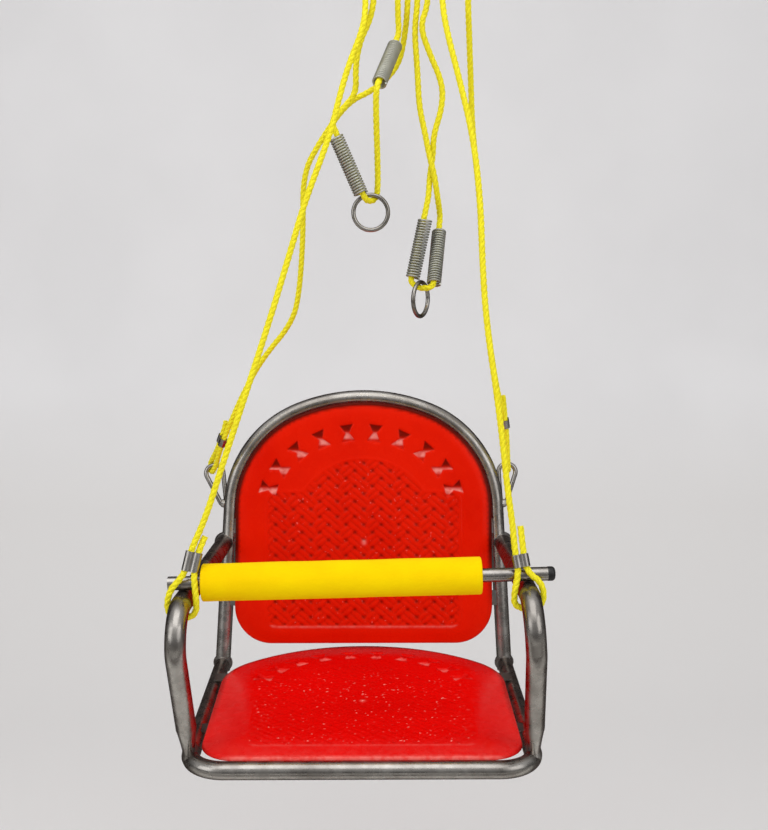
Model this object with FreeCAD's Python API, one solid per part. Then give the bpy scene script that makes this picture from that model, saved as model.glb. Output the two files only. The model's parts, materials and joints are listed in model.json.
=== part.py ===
import FreeCAD, Part
import math
import os

# Child swing: a moulded seat and back on a bent steel tube frame, a sliding safety bar in a
# foam sleeve, and four rope legs that lie over a rail along the X axis at the origin.
# Lengths are in millimetres and angles in degrees. X is to the right, Y to the back, Z up.

os.makedirs("parts", exist_ok=True)
V = FreeCAD.Vector

# Where the seat hangs below the rail
hang_drop = 690.0
hang_over = 158.0

# Bent tube frame
tube_size = 16.0
tube_wall = 1.2
frame_half = 152.5
frame_length = 262.0
frame_corner = 33.0
lean_angle = 10.6
hoop_height = 287.5
hoop_inset = 8.0
hoop_half = frame_half - hoop_inset
hoop_shoulder = 117.0
hoop_top_radius = 190.0

# Arm tubes: bent, with a foot squeezed flat on the front corner of the frame
arm_size = 18.0
arm_wall = 1.2
arm_foot_y = 28.0
arm_bow_y = -19.0
arm_bow_z = 109.0
arm_front_y = -24.0
arm_weld_height = 130.0
arm_bend = 28.0
arm_foot_narrow = 10.0
arm_foot_wide = 23.0
arm_squeeze_length = 36.0
arm_left = {"foot": -frame_half, "bow": -155.5, "top": -155.0, "weld": -151.0, "rise": 147.5}
arm_right = {"foot": frame_half, "bow": 146.5, "top": 142.5, "weld": 151.0, "rise": 156.5}

# Weld beads
weld_gap = 0.06
bead_root = 4.8
bead_rise = 2.4
hook_bead = 4.6

# Moulded panels
panel_wall = 2.5
panel_rim = 3.0
seat_lift = 5.6
seat_inset = 9.0
seat_half = frame_half - seat_inset
seat_front = 6.5
seat_length = 266.0
seat_tilt = 1.4
seat_corner = 32.0
seat_shoulder = 70.0
seat_arch = 178.0
seat_border = 22.0
seat_crown = 3.5
back_lift = 6.1
back_low = 21.5
back_inset = 5.5
back_corner = 40.0
back_border = 14.0
back_crown = 2.0

# Sunken hourglasses round the arch of both panels
dimple_count = 10
dimple_pitch_angle = 16.5
dimple_ring = 102.0
back_ring_height = 151.0
seat_ring_height = 135.0
dimple_tall = 18.0
dimple_wide = 12.5
dimple_waist = 4.0
dimple_depth = 1.2

# Cross bars behind the panels, their bosses and screws
bar_strip_wide = 16.0
bar_strip_thick = 2.0
seat_bar_places = [68.0, 188.0]
back_bar_places = [70.0, 148.0]
boss_size = 11.0
boss_spread = 95.0
screw_size = 4.0
screw_head_size = 8.0
screw_head_height = 2.4
screw_bite = 3.8
screw_fit = 0.05

# Rear hooks
hook_wire = 5.0
hook_length = 43.0
hook_half = 11.0
hook_foot_gap = 5.6
hook_bend = 8.5
hook_place = 172.0
hook_left_tilt = 17.0
hook_right_tilt = -7.0

# Safety bar, its plug and its foam sleeve
bar_size = 12.0
bar_wall = 1.2
bar_left_end = -168.0
bar_right_end = 161.0
bar_y = 27.0
seat_gap = 0.3
plug_head_size = 12.6
plug_head_length = 6.5
plug_stem_length = 14.0
foam_size = 33.0
foam_left_end = -138.5
foam_right_end = 103.5
foam_clear = 0.4

# Ropes, ferrules, springs and rings
rope_size = 6.0
rail_size = 24.0
ferrule_length = 17.0
ferrule_front_length = 11.0
ferrule_rear_length = 9.0
ferrule_wall = 1.1
ferrule_clear = 0.12
spring_size = 13.7
spring_wire = 2.0
spring_coils = 22
spring_pitch = 2.5
spring_rest = 3.6
spring_rest_upper = 8.4
ring_size = 36.0
ring_wire = 4.0
ring_right_turn = 62.0

overrun = 20.0
small = 0.02
bend_share = 0.45

# Cord routes, chosen by hand, in the part's own frame
left_front_route = [
    (3, -15, 0), (3, -15, -20), (2, -26.5, -46.5), (-12.5, -36, -83), (-20.5, -43, -111.5),
    (-28.5, -51.5, -144.5), (-51, -67, -204.5), (-62.5, -77, -245), (-80.5, -92.5, -305.5),
    (-101, -108.5, -369), (-121, -121, -430), (-135, -129.5, -474), (-147, -136.5, -500),
    (-151.4, -141.2, -519), (-166.7, -144.5, -535), (-166.7, -144.5, -557.3),
    (-142.1, -144.5, -557.3), (-142.1, -144.5, -537), (-144.6, -141, -519), (-140.4, -134, -500),
    (-135.2, -130, -489),
]
left_rear_route = [
    (42, 15, 0), (42, 15, -20), (39.5, 28.5, -48), (33.5, 33.5, -75), (10, 38, -95.5),
    (-14.5, 41.5, -105.5), (-41, 47.5, -141.5), (-59, 54.5, -173), (-59.5, 66.5, -228),
    (-64.5, 78.5, -288.5), (-72.5, 85.5, -320.5), (-104, 95.5, -357.5), (-124, 103, -392),
    (-144.5, 114, -436), (-155, 123, -463), (-160.2, 134.2, -479.4), (-165.8, 142.8, -489.4),
    (-169, 151.2, -480.4), (-163.4, 142.6, -470.4), (-157, 129.5, -459), (-148.6, 121.8, -437),
    (-146.5, 119.5, -428),
]
right_front_route = [
    (71.5, -15, 0), (71.5, -15, -20), (74.5, -26.5, -47.5), (87.5, -39, -98.5),
    (98.5, -51.5, -146.5), (104.5, -66, -203.5), (105.5, -80, -258), (108.5, -93, -308.5),
    (117, -108.5, -369), (122, -118, -412), (125.5, -125, -448), (130, -131, -480),
    (131.6, -135, -500), (134.8, -140.6, -518), (130.8, -144.5, -534), (130.8, -144.5, -549.5),
    (155.6, -144.5, -549.5), (156, -144.5, -528), (141.5, -140.6, -518), (138.5, -136, -500),
    (136.8, -130.5, -480),
]
right_rear_route = [
    (95, -15, 0), (95, -15, -20), (97, -6.5, -45.5), (101, 14.5, -89), (104.5, 31.5, -132.5),
    (114.5, 52.5, -197.5), (119, 71.5, -254), (124.5, 86, -300.5), (133.5, 104.5, -354.5),
    (144, 121.5, -404), (151, 127.5, -422), (154.2, 130.5, -442), (156.4, 135.6, -472.6),
    (157.8, 138.8, -486.5), (158.4, 151, -483.7), (157, 147.8, -469.8), (153.8, 137.2, -442),
    (152.3, 134.5, -421), (149.5, 130.5, -402),
]
left_ring_route = [
    (32.5, 15, 0), (32.5, 15, -30), (34, 15, -46.5), (12.5, -39, -102), (12, -35, -119),
    (14, -13, -170.5), (14, -8.5, -193), (11, -11, -200.5), (4, -19.5, -201), (1.5, -24.5, -197.5),
    (-28.5, -24.5, -130), (-17.5, -18, -118), (-5.5, -15, -104.5), (-6.5, -15, -80),
    (-2, -15, -57.5), (7, -15, -40), (11, -15, -20), (11, -15, 0),
]
right_ring_route = [
    (51, 15, 0), (51, 15, -20), (48, 15, -43.5), (51, 12, -80), (52.5, 8, -113), (58.5, 5, -139.5),
    (62, 2, -158), (67, 2, -176.5), (70, 5, -195), (74, 21.5, -214), (66, -13, -279.5),
    (58.5, -8, -281.5), (50.5, -4, -280.5), (45, -1.5, -275), (60, 2.5, -204.5), (62, 5, -195),
    (63, 8, -176.5), (66, 8, -158), (66, 5, -139.5), (74, 8, -115), (74.5, 9, -92.5),
    (61.5, 10.5, -64), (53, 9, -41), (61, 15, -20), (61, 15, 0),
]

# Frames of reference


def at(x, y, z):
    """A point of the seat, measured from the middle of the front bar."""
    return V(x, y - hang_over, z - hang_drop)


lean_turn = FreeCAD.Rotation(V(1, 0, 0), 90 - lean_angle)
hoop_frame = FreeCAD.Placement(at(0, frame_length, 0), lean_turn)
seat_turn = FreeCAD.Rotation(V(1, 0, 0), seat_tilt)
seat_place = FreeCAD.Placement(at(0, seat_front, seat_lift), seat_turn)


def placed(shape, frame):
    copy = shape.copy()
    copy.Placement = frame.multiply(copy.Placement)
    return copy


# Tools for routes and tubes


def corner(before, here, after, radius):
    """The straight lengths and the arc that round one corner."""
    back = before - here
    on = after - here
    short = min(back.Length, on.Length)
    back.normalize()
    on.normalize()
    half_turn = (math.pi - back.getAngle(on)) / 2
    cut = bend_share * short if radius is None else radius * math.tan(half_turn)
    bend = cut / math.tan(half_turn)
    middle = back + on
    middle.normalize()
    reach = bend / math.cos(half_turn) - bend
    return here + back * cut, here + middle * reach, here + on * cut, bend


def route(points, radius=None):
    """Straight runs joined by tangent arcs; gives the wire and the tightest radius."""
    points = [V(*p) for p in points]
    edges = []
    start = points[0]
    tightest = None
    for before, here, after in zip(points, points[1:], points[2:]):
        first, middle, last, bend = corner(before, here, after, radius)
        edges.append(Part.LineSegment(start, first).toShape())
        edges.append(Part.Arc(first, middle, last).toShape())
        start = last
        tightest = bend if tightest is None else min(tightest, bend)
    edges.append(Part.LineSegment(start, points[-1]).toShape())
    return Part.Wire(edges), tightest


def swept(wire, size):
    """A round bar along a wire."""
    edge = wire.OrderedEdges[0]
    begin = edge.valueAt(edge.FirstParameter)
    along = edge.tangentAt(edge.FirstParameter)
    ring = Part.Wire([Part.makeCircle(size / 2, begin, along)])
    return wire.makePipeShell([ring], True, False)


def hollow(wire, size, wall):
    return swept(wire, size).cut(swept(wire, size - wall * 2))


def rod(start, along, length, size):
    return Part.makeCylinder(size / 2, length, start, along)


def largest(shape):
    return max(shape.Solids, key=lambda solid: solid.Volume)


def save(name, shape):
    shape.exportStep("parts/" + name + ".step")
    box = shape.BoundBox
    print(name, "solids", len(shape.Solids), "valid", shape.isValid(),
          "volume", round(shape.Volume), "box", [round(v, 1) for v in
          (box.XMin, box.XMax, box.YMin, box.YMax, box.ZMin, box.ZMax)])


def save_all(name, shapes):
    save(name, Part.makeCompound(shapes))


# Frame tubes


def frame_wire():
    points = [at(-frame_half, frame_length, 0), at(-frame_half, 0, 0), at(frame_half, 0, 0),
              at(frame_half, frame_length, 0)]
    return route(points, frame_corner)[0]


def arch_centres(half, high, shoulder, top):
    """Where the shoulder arc and the top arc of an arched outline are centred."""
    shoulder_x = half - shoulder
    top_y = high - top
    shoulder_y = top_y + math.sqrt((top - shoulder) ** 2 - shoulder_x ** 2)
    return shoulder_x, shoulder_y, top_y


def arch_points(half, high, shoulder, top):
    """Ends and middles of the shoulder arc and the top arc, on the right."""
    shoulder_x, shoulder_y, top_y = arch_centres(half, high, shoulder, top)
    meet = math.atan2(shoulder_y - top_y, shoulder_x)
    side = V(half, shoulder_y, 0)
    middle = V(shoulder_x + shoulder * math.cos(meet / 2), shoulder_y + shoulder * math.sin(meet / 2), 0)
    join = V(top * math.cos(meet), top_y + top * math.sin(meet), 0)
    return side, middle, join


def mirrored(point):
    return V(-point.x, point.y, point.z)


def hoop_wire():
    """The hoop's centre line in its own plane, with feet that run past the frame's underside."""
    side, middle, join = arch_points(hoop_half, hoop_height, hoop_shoulder, hoop_top_radius)
    spread = (frame_half - hoop_half) / side.y
    foot = V(frame_half + spread * tube_size, -tube_size, 0)
    crest = V(0, hoop_height, 0)
    edges = [
        Part.LineSegment(mirrored(foot), mirrored(side)).toShape(),
        Part.Arc(mirrored(side), mirrored(middle), mirrored(join)).toShape(),
        Part.Arc(mirrored(join), crest, join).toShape(),
        Part.Arc(join, middle, side).toShape(),
        Part.LineSegment(side, foot).toShape(),
    ]
    return Part.Wire(edges)


def below_frame():
    """The space under the frame tubes, for trimming feet level."""
    wide = frame_half * 4
    corner_point = at(-wide / 2, -wide / 2, -tube_size / 2 - wide)
    return Part.makeBox(wide, wide * 2, wide, corner_point)


frame_bar = swept(frame_wire(), tube_size)
hoop_bar = placed(swept(hoop_wire(), tube_size), hoop_frame).cut(below_frame())
hoop_bore = placed(swept(hoop_wire(), tube_size - tube_wall * 2), hoop_frame)
hoop_saddle = placed(swept(hoop_wire(), tube_size + weld_gap * 2), hoop_frame)

save("seat_frame", largest(hollow(frame_wire(), tube_size, tube_wall).cut(hoop_saddle)))
save("back_hoop", hoop_bar.cut(hoop_bore))


# Arm tubes


def oval(place, along, narrow, wide):
    """An ellipse square to the arm, narrow across and wide fore and aft."""
    normal = V(along)
    normal.normalize()
    across = V(1, 0, 0)
    across = across - normal * across.dot(normal)
    across.normalize()
    fore = normal.cross(across)
    shape = Part.Ellipse(V(0, 0, 0), wide / 2, narrow / 2)
    frame = FreeCAD.Placement(place, FreeCAD.Rotation(fore, across, normal, "ZXY"))
    edge = shape.toShape()
    edge.Placement = frame
    return Part.Wire([edge])


def arm_points(side):
    lean = math.radians(lean_angle)
    weld = at(side["weld"], frame_length + arm_weld_height * math.sin(lean),
              arm_weld_height * math.cos(lean))
    return [at(side["foot"], arm_foot_y, 0), at(side["bow"], arm_bow_y, arm_bow_z),
            at(side["top"], arm_front_y, side["rise"]), weld]


def arm_bars(side, squeeze):
    """The solid arm, smaller all round by squeeze."""
    foot, bow, front, weld = arm_points(side)
    up = bow - foot
    up.normalize()
    start = foot + up * arm_squeeze_length
    path = route([start, bow, front, weld], arm_bend)[0]
    size = arm_size - squeeze * 2
    narrow = arm_foot_narrow - squeeze * 2
    wide = arm_foot_wide - squeeze * 2
    join = oval(start, up, size - small, size)
    upper = path.makePipeShell([join], True, False)
    half_way = foot + up * (arm_squeeze_length / 2)
    sections = [oval(foot, up, narrow, wide), oval(half_way, up, (narrow * 2 + size) / 3,
                (wide * 2 + size) / 3), join]
    lower = Part.makeLoft(sections, True, False)
    return upper, lower


def make_arm(name, side):
    outer_upper, outer_lower = arm_bars(side, 0)
    inner_upper, inner_lower = arm_bars(side, arm_wall)
    bar = outer_upper.fuse(outer_lower)
    core = inner_upper.fuse(inner_lower)
    save(name, largest(bar.cut(core).cut(frame_bar).cut(hoop_bar)))
    return bar


left_arm_bar = make_arm("armrest_left", arm_left)
right_arm_bar = make_arm("armrest_right", arm_right)


# Rear hooks


def hook_route():
    """One hook in its own frame: both feet near the origin, the loop up along Y."""
    foot = hook_foot_gap / 2
    points = [V(-foot, 0, 0), V(-hook_half, hook_length, 0), V(hook_half, hook_length, 0),
              V(foot, 0, 0)]
    return route(points, hook_bend)[0]


def hook_frame(sign, tilt):
    shoulder_x, shoulder_y, _ = arch_centres(hoop_half, hoop_height, hoop_shoulder, hoop_top_radius)
    reach = hoop_shoulder + tube_size / 2
    rise = hook_place - shoulder_y
    side_x = shoulder_x + math.sqrt(reach ** 2 - rise ** 2)
    turn = FreeCAD.Rotation(V(0, 0, 1), tilt)
    return hoop_frame.multiply(FreeCAD.Placement(V(sign * side_x, hook_place, 0), turn))


hook_frames = {"left": hook_frame(-1, hook_left_tilt), "right": hook_frame(1, hook_right_tilt)}
hook_bars = {}
for side_name, frame in hook_frames.items():
    hook_bars[side_name] = largest(placed(swept(hook_route(), hook_wire), frame).cut(hoop_bar))
    save("rear_hook_" + side_name, hook_bars[side_name])


# Panels


def arched_outline(low, half, high, corner_radius, shoulder, top, inset, height):
    """A panel's outline, drawn in by inset, at a height."""
    half = half - inset
    high = high - inset
    low = low + inset
    corner_radius = corner_radius - inset
    side, middle, join = arch_points(half, high, shoulder - inset, top - inset)
    bite = corner_radius * (1 - math.sqrt(2) / 2)
    right_low = V(half, low + corner_radius, 0)
    corner_middle = V(half - bite, low + bite, 0)
    low_right = V(half - corner_radius, low, 0)
    crest = V(0, high, 0)
    edges = [
        Part.LineSegment(mirrored(low_right), low_right).toShape(),
        Part.Arc(low_right, corner_middle, right_low).toShape(),
        Part.LineSegment(right_low, side).toShape(),
        Part.Arc(side, middle, join).toShape(),
        Part.Arc(join, crest, mirrored(join)).toShape(),
        Part.Arc(mirrored(join), mirrored(middle), mirrored(side)).toShape(),
        Part.LineSegment(mirrored(side), mirrored(right_low)).toShape(),
        Part.Arc(mirrored(right_low), mirrored(corner_middle), mirrored(low_right)).toShape(),
    ]
    wire = Part.Wire(edges)
    wire.translate(V(0, 0, height))
    return wire


def seat_outline(inset, height):
    return arched_outline(0, seat_half, seat_length, seat_corner, seat_shoulder, seat_arch,
                          inset, height)


def back_outline(inset, height):
    edge = inset + back_inset
    return arched_outline(back_low - back_inset, hoop_half, hoop_height, back_corner + back_inset,
                          hoop_shoulder, hoop_top_radius, edge, height)


def moulded(outline, lift, border, crown):
    """A thin panel with a rim and a border that rises to a flat field."""
    rim_top = lift + panel_rim
    top = rim_top + crown
    rim = Part.Face(outline(0, lift)).extrude(V(0, 0, panel_rim))
    slope = Part.makeLoft([outline(0, rim_top), outline(border, top)], True, True)
    hollow_low = outline(panel_wall, lift)
    hollow_high = outline(border, top - panel_wall)
    cavity = Part.makeLoft([hollow_low, hollow_high], True, True)
    return rim.fuse(slope).cut(cavity).removeSplitter()


def boss_spots(places):
    return [V(x, y, 0) for y in places for x in (-boss_spread, boss_spread)]


def with_bosses(panel, places, lift, crown):
    ceiling = lift + panel_rim + crown - panel_wall
    for spot in boss_spots(places):
        foot = spot + V(0, 0, lift)
        boss = rod(foot, V(0, 0, 1), ceiling - lift + small, boss_size)
        bore = rod(foot, V(0, 0, 1), screw_bite + screw_fit, screw_size + screw_fit * 2)
        panel = panel.fuse(boss).cut(bore)
    return panel


def hourglass(turn, ring_height, floor):
    """The space over one sunken hourglass, set radially on its ring."""
    tall = dimple_tall / 2
    wide = dimple_wide / 2
    waist = dimple_waist / 2
    corners = [V(-wide, tall, 0), V(wide, tall, 0), V(waist, 0, 0), V(wide, -tall, 0),
               V(-wide, -tall, 0), V(-waist, 0, 0)]
    face = Part.Face(Part.makePolygon(corners + corners[:1]))
    prism = face.extrude(V(0, 0, overrun))
    prism.translate(V(0, dimple_ring, floor))
    prism.rotate(V(0, 0, 0), V(0, 0, 1), turn)
    prism.translate(V(0, ring_height, 0))
    return prism


def with_dimples(panel, ring_height, lift, crown):
    floor = lift + panel_rim + crown - dimple_depth
    for number in range(dimple_count):
        turn = (number - (dimple_count - 1) / 2) * dimple_pitch_angle
        panel = panel.cut(hourglass(turn, ring_height, floor))
    return panel


seat_panel = moulded(seat_outline, 0, seat_border, seat_crown)
seat_panel = with_bosses(seat_panel, seat_bar_places, 0, seat_crown)
seat_panel = with_dimples(seat_panel, seat_ring_height, 0, seat_crown)
save("seat_panel", placed(seat_panel, seat_place))

back_panel = moulded(back_outline, back_lift, back_border, back_crown)
back_panel = with_bosses(back_panel, back_bar_places, back_lift, back_crown)
back_panel = with_dimples(back_panel, back_ring_height, back_lift, back_crown)
save("back_panel", placed(back_panel, hoop_frame))


# Cross bars and screws


def strips(places, lift):
    bars = []
    for place in places:
        start = V(-frame_half, place - bar_strip_wide / 2, lift - bar_strip_thick)
        bar = Part.makeBox(frame_half * 2, bar_strip_wide, bar_strip_thick, start)
        for x in (-boss_spread, boss_spread):
            hole = rod(V(x, place, lift - overrun), V(0, 0, 1), overrun * 2, screw_size + screw_fit * 2)
            bar = bar.cut(hole)
        bars.append(bar)
    return bars


def screws(places, lift):
    made = []
    for spot in boss_spots(places):
        under = spot + V(0, 0, lift - bar_strip_thick)
        shank = rod(under, V(0, 0, 1), bar_strip_thick + screw_bite, screw_size)
        head = rod(under, V(0, 0, -1), screw_head_height, screw_head_size)
        made.append(shank.fuse(head))
    return made


seat_bars = [largest(placed(bar, seat_place).cut(frame_bar)) for bar in
             strips(seat_bar_places, 0)]
back_bars = [largest(placed(bar, hoop_frame).cut(hoop_bar)) for bar in
             strips(back_bar_places, back_lift)]
save_all("seat_cross_bars", seat_bars)
save_all("back_cross_bars", back_bars)
seat_screws = [placed(screw, seat_place) for screw in screws(seat_bar_places, 0)]
back_screws = [placed(screw, hoop_frame) for screw in screws(back_bar_places, back_lift)]
save_all("panel_screws", seat_screws + back_screws)


# Weld beads


def bead_cone(tip, along, size):
    """Weld metal round a tube of this size that butts against a frame tube."""
    reach = tube_size / 2 + bead_rise * 2
    return Part.makeCone((size + bead_root) / 2, (size - bead_rise) / 2, reach, tip, along)


def foot_bead(side, bar):
    foot, bow, _, _ = arm_points(side)
    up = bow - foot
    up.normalize()
    low = oval(foot + up * (tube_size / 4), up, arm_foot_narrow + bead_root, arm_foot_wide + bead_root)
    high = oval(foot + up * (tube_size / 2 + bead_rise * 2), up, arm_foot_narrow, arm_foot_wide)
    return largest(Part.makeLoft([low, high], True, True).cut(bar).cut(frame_bar))


def weld_bead(side, bar):
    _, _, front, weld = arm_points(side)
    along = front - weld
    along.normalize()
    return largest(bead_cone(weld, along, arm_size).cut(bar).cut(hoop_bar))


def rail_bead(sign):
    cone = bead_cone(at(sign * frame_half, frame_length, 0), V(0, -1, 0), tube_size)
    return largest(cone.cut(frame_bar).cut(hoop_bar))


def hook_weld(side_name):
    ball = placed(Part.makeSphere(hook_bead), hook_frames[side_name])
    return largest(ball.cut(hoop_bar).cut(hook_bars[side_name]))


beads = [foot_bead(arm_left, left_arm_bar), foot_bead(arm_right, right_arm_bar),
         weld_bead(arm_left, left_arm_bar), weld_bead(arm_right, right_arm_bar),
         rail_bead(-1), rail_bead(1), hook_weld("left"), hook_weld("right")]
save_all("weld_beads", beads)


# Safety bar


def arm_top(side):
    """The height that the bar's centre has where it lies on an arm tube."""
    front = V(*arm_points(side)[2])
    weld = V(*arm_points(side)[3])
    share = (bar_y - hang_over - front.y) / (weld.y - front.y)
    middle = front + (weld - front) * share
    return V(middle.x, bar_y - hang_over, middle.z + (arm_size + bar_size) / 2 + seat_gap)


bar_rest_left = arm_top(arm_left)
bar_rest_right = arm_top(arm_right)
bar_along = bar_rest_right - bar_rest_left
bar_along.normalize()


def on_bar(x):
    """The point of the bar's centre line over a place across the seat."""
    return bar_rest_left + bar_along * ((x - bar_rest_left.x) / bar_along.x)


bar_start = on_bar(bar_left_end)
bar_length = (on_bar(bar_right_end) - bar_start).Length
safety_bar = rod(bar_start, bar_along, bar_length, bar_size)
safety_bar = safety_bar.cut(rod(bar_start, bar_along, bar_length, bar_size - bar_wall * 2))
save("safety_bar", safety_bar)

plug_seat = on_bar(bar_right_end)
stem = rod(plug_seat - bar_along * plug_stem_length, bar_along, plug_stem_length,
           bar_size - bar_wall * 2)
head = rod(plug_seat, bar_along, plug_head_length, plug_head_size)
plug = stem.fuse(head)
plug_tip = plug_seat + bar_along * plug_head_length
rim_edges = [edge for edge in plug.Edges if (edge.CenterOfMass - plug_tip).Length < small]
plug = plug.makeFillet(plug_head_length / 2, rim_edges)
save("bar_end_plug", plug)

foam_start = on_bar(foam_left_end)
foam_length = (on_bar(foam_right_end) - foam_start).Length
foam = rod(foam_start, bar_along, foam_length, foam_size)
foam = foam.cut(rod(foam_start, bar_along, foam_length, bar_size + foam_clear * 2))
save("foam_sleeve", foam)
print("bar along", [round(v, 5) for v in bar_along], "at", [round(v, 2) for v in bar_start])


# Ropes


def rope(name, points):
    wire, tightest = route(points)
    bar = swept(wire, rope_size)
    section = math.pi * (rope_size / 2) ** 2
    print(name, "length", round(wire.Length), "tightest bend", round(tightest, 1),
          "volume share", round(bar.Volume / (section * wire.Length), 4))
    save(name, bar)
    return bar


rope_routes = {
    "rope_left_front": left_front_route,
    "rope_left_rear": left_rear_route,
    "rope_right_front": right_front_route,
    "rope_right_rear": right_rear_route,
    "rope_left_ring": left_ring_route,
    "rope_right_ring": right_ring_route,
}
ropes = {name: rope(name, points) for name, points in rope_routes.items()}


def bight(front, rear):
    """A rope's turn over the rail, from its front tangent to its rear one."""
    radius = (rail_size + rope_size) / 2
    reach = radius * math.tan(math.pi / 8)
    across = (rear - front) / 3
    points = [
        front,
        front + V(0, 0, reach),
        V(front.x + across.x, -reach, radius),
        V(rear.x - across.x, reach, radius),
        rear + V(0, 0, reach),
        rear,
    ]
    return swept(route(points)[0], rope_size)


def top_of(points, last=False):
    return V(*(points[-1] if last else points[0]))


save_all("bights_left", [
    bight(top_of(left_front_route), top_of(left_ring_route)),
    bight(top_of(left_ring_route, True), top_of(left_rear_route)),
])
save_all("bights_right", [
    bight(top_of(right_front_route), top_of(right_ring_route)),
    bight(top_of(right_rear_route), top_of(right_ring_route, True)),
])


# Ferrules


def ferrule(name, first, second, length, points):
    """A crimped sleeve round both strands of a rope, cut to fit them."""
    middle_first = (V(*points[first]) + V(*points[first + 1])) * 0.5
    middle_second = (V(*points[second]) + V(*points[second - 1])) * 0.5
    along = V(*points[first]) - V(*points[first + 1])
    along.normalize()
    centre = (middle_first + middle_second) * 0.5
    across = middle_second - middle_first
    across = across - along * across.dot(along)
    spread = across.Length
    across.normalize()
    size = rope_size + ferrule_wall * 2
    low = centre - along * (length / 2)
    lobe_one = rod(low - across * (spread / 2), along, length, size)
    lobe_two = rod(low + across * (spread / 2), along, length, size)
    web = Part.makeBox(spread, rope_size, length, V(-spread / 2, -rope_size / 2, 0))
    web = placed(web, FreeCAD.Placement(low, FreeCAD.Rotation(across, V(0, 0, 0), along, "ZXY")))
    body = lobe_one.fuse(lobe_two).fuse(web)
    save(name, largest(body.cut(swept(route(points)[0], rope_size + ferrule_clear * 2))))


ferrule("ferrule_left_front", 12, 19, ferrule_length, left_front_route)
ferrule("ferrule_right_front", 12, 19, ferrule_front_length, right_front_route)
ferrule("ferrule_left_rear", 13, 20, ferrule_rear_length, left_rear_route)
ferrule("ferrule_right_rear", 10, 17, ferrule_rear_length, right_rear_route)


# Springs and rings


def biarc(start, start_along, end, end_along):
    """Two arcs that leave start and reach end along the given directions."""
    gap = end - start
    both = start_along + end_along
    square = 2 * (1 - start_along.dot(end_along))
    middle_term = gap.dot(both)
    span = (math.sqrt(middle_term ** 2 + square * gap.Length ** 2) - middle_term) / square
    first_corner = start + start_along * span
    last_corner = end - end_along * span
    join = (first_corner + last_corner) * 0.5
    arcs = []
    for begin, bend_at, finish in ((start, first_corner, join), (join, last_corner, end)):
        back = begin - bend_at
        on = finish - bend_at
        half_turn = (math.pi - back.getAngle(on)) / 2
        inward = back.normalize() + on.normalize()
        inward.normalize()
        radius = span / math.tan(half_turn)
        middle = bend_at + inward * (radius / math.cos(half_turn) - radius)
        arcs.append(Part.Arc(begin, middle, finish).toShape())
    return arcs


def coil_wire():
    """A close coil up the Z axis, half a turn to each pair of arcs, with straight ends."""
    radius = (spring_size - spring_wire) / 2
    rise = spring_pitch / (2 * math.pi)
    slope = math.hypot(radius, rise)

    def place(turn):
        return V(radius * math.cos(turn), radius * math.sin(turn), rise * turn)

    def along(turn):
        return V(-radius * math.sin(turn), radius * math.cos(turn), rise) * (1 / slope)

    steps = [math.pi * step for step in range(spring_coils * 2 + 1)]
    edges = [Part.LineSegment(place(0) - along(0) * spring_wire, place(0)).toShape()]
    for low, high in zip(steps, steps[1:]):
        edges += biarc(place(low), along(low), place(high), along(high))
    last = steps[-1]
    edges.append(Part.LineSegment(place(last), place(last) + along(last) * spring_wire).toShape())
    return Part.Wire(edges)


def least_gap(wire):
    """The least gap of a coil to itself, measured on points a whole turn or so apart."""
    turn = 24
    count = spring_coils * turn
    points = wire.discretize(count)
    gaps = [(points[i] - points[j]).Length for i in range(0, count, 4)
            for j in range(i + turn // 2, min(i + turn * 2, count))]
    return min(gaps) - spring_wire


coil = coil_wire()
coil_bar = swept(coil, spring_wire)
print("spring least gap to itself", round(least_gap(coil), 3), "length",
      round(spring_coils * spring_pitch, 1))


def spring(name, points, run, rest):
    """A coil that hangs on one straight run of a rope, its low end a rest above the run's foot."""
    one, other = V(*points[run]), V(*points[run + 1])
    low, high = (one, other) if one.z < other.z else (other, one)
    up = high - low
    up.normalize()
    slack = (spring_size - spring_wire * 2 - rope_size) / 2 - seat_gap
    sag = V(0, 0, -1) + up * up.z
    sag.normalize()
    turn = FreeCAD.Rotation(V(0, 0, 1), up)
    shape = coil_bar.copy()
    shape.Placement = FreeCAD.Placement(low + up * rest + sag * slack, turn)
    print(name, "slides along", [round(v, 4) for v in up], "from",
          [round(v, 2) for v in low + up * rest])
    save(name, shape)


spring("spring_left_upper", left_ring_route, 2, spring_rest_upper)
spring("spring_left_lower", left_ring_route, 9, spring_rest)
spring("spring_right_inner", right_ring_route, 13, spring_rest)
spring("spring_right_outer", right_ring_route, 9, spring_rest)


def ring(name, points, run, turn):
    """A ring whose top wire hangs in the bight of a rope."""
    bight_middle = (V(*points[run]) + V(*points[run + 1])) * 0.5
    top_wire = bight_middle + V(0, 0, (rope_size + ring_wire) / 2 + seat_gap)
    middle_radius = (ring_size - ring_wire) / 2
    shape = Part.makeTorus(middle_radius, ring_wire / 2)
    upright = FreeCAD.Rotation(V(0, 0, 1), turn).multiply(FreeCAD.Rotation(V(1, 0, 0), 90))
    shape.Placement = FreeCAD.Placement(top_wire - V(0, 0, middle_radius), upright)
    print(name, "hangs at", [round(v, 2) for v in top_wire])
    save(name, shape)


ring("ring_left", left_ring_route, 7, 0)
ring("ring_right", right_ring_route, 11, ring_right_turn)
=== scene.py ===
import bpy
import json
import math
import numpy as np
from mathutils import Matrix, Vector, noise
from mathutils.geometry import delaunay_2d_cdt


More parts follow.
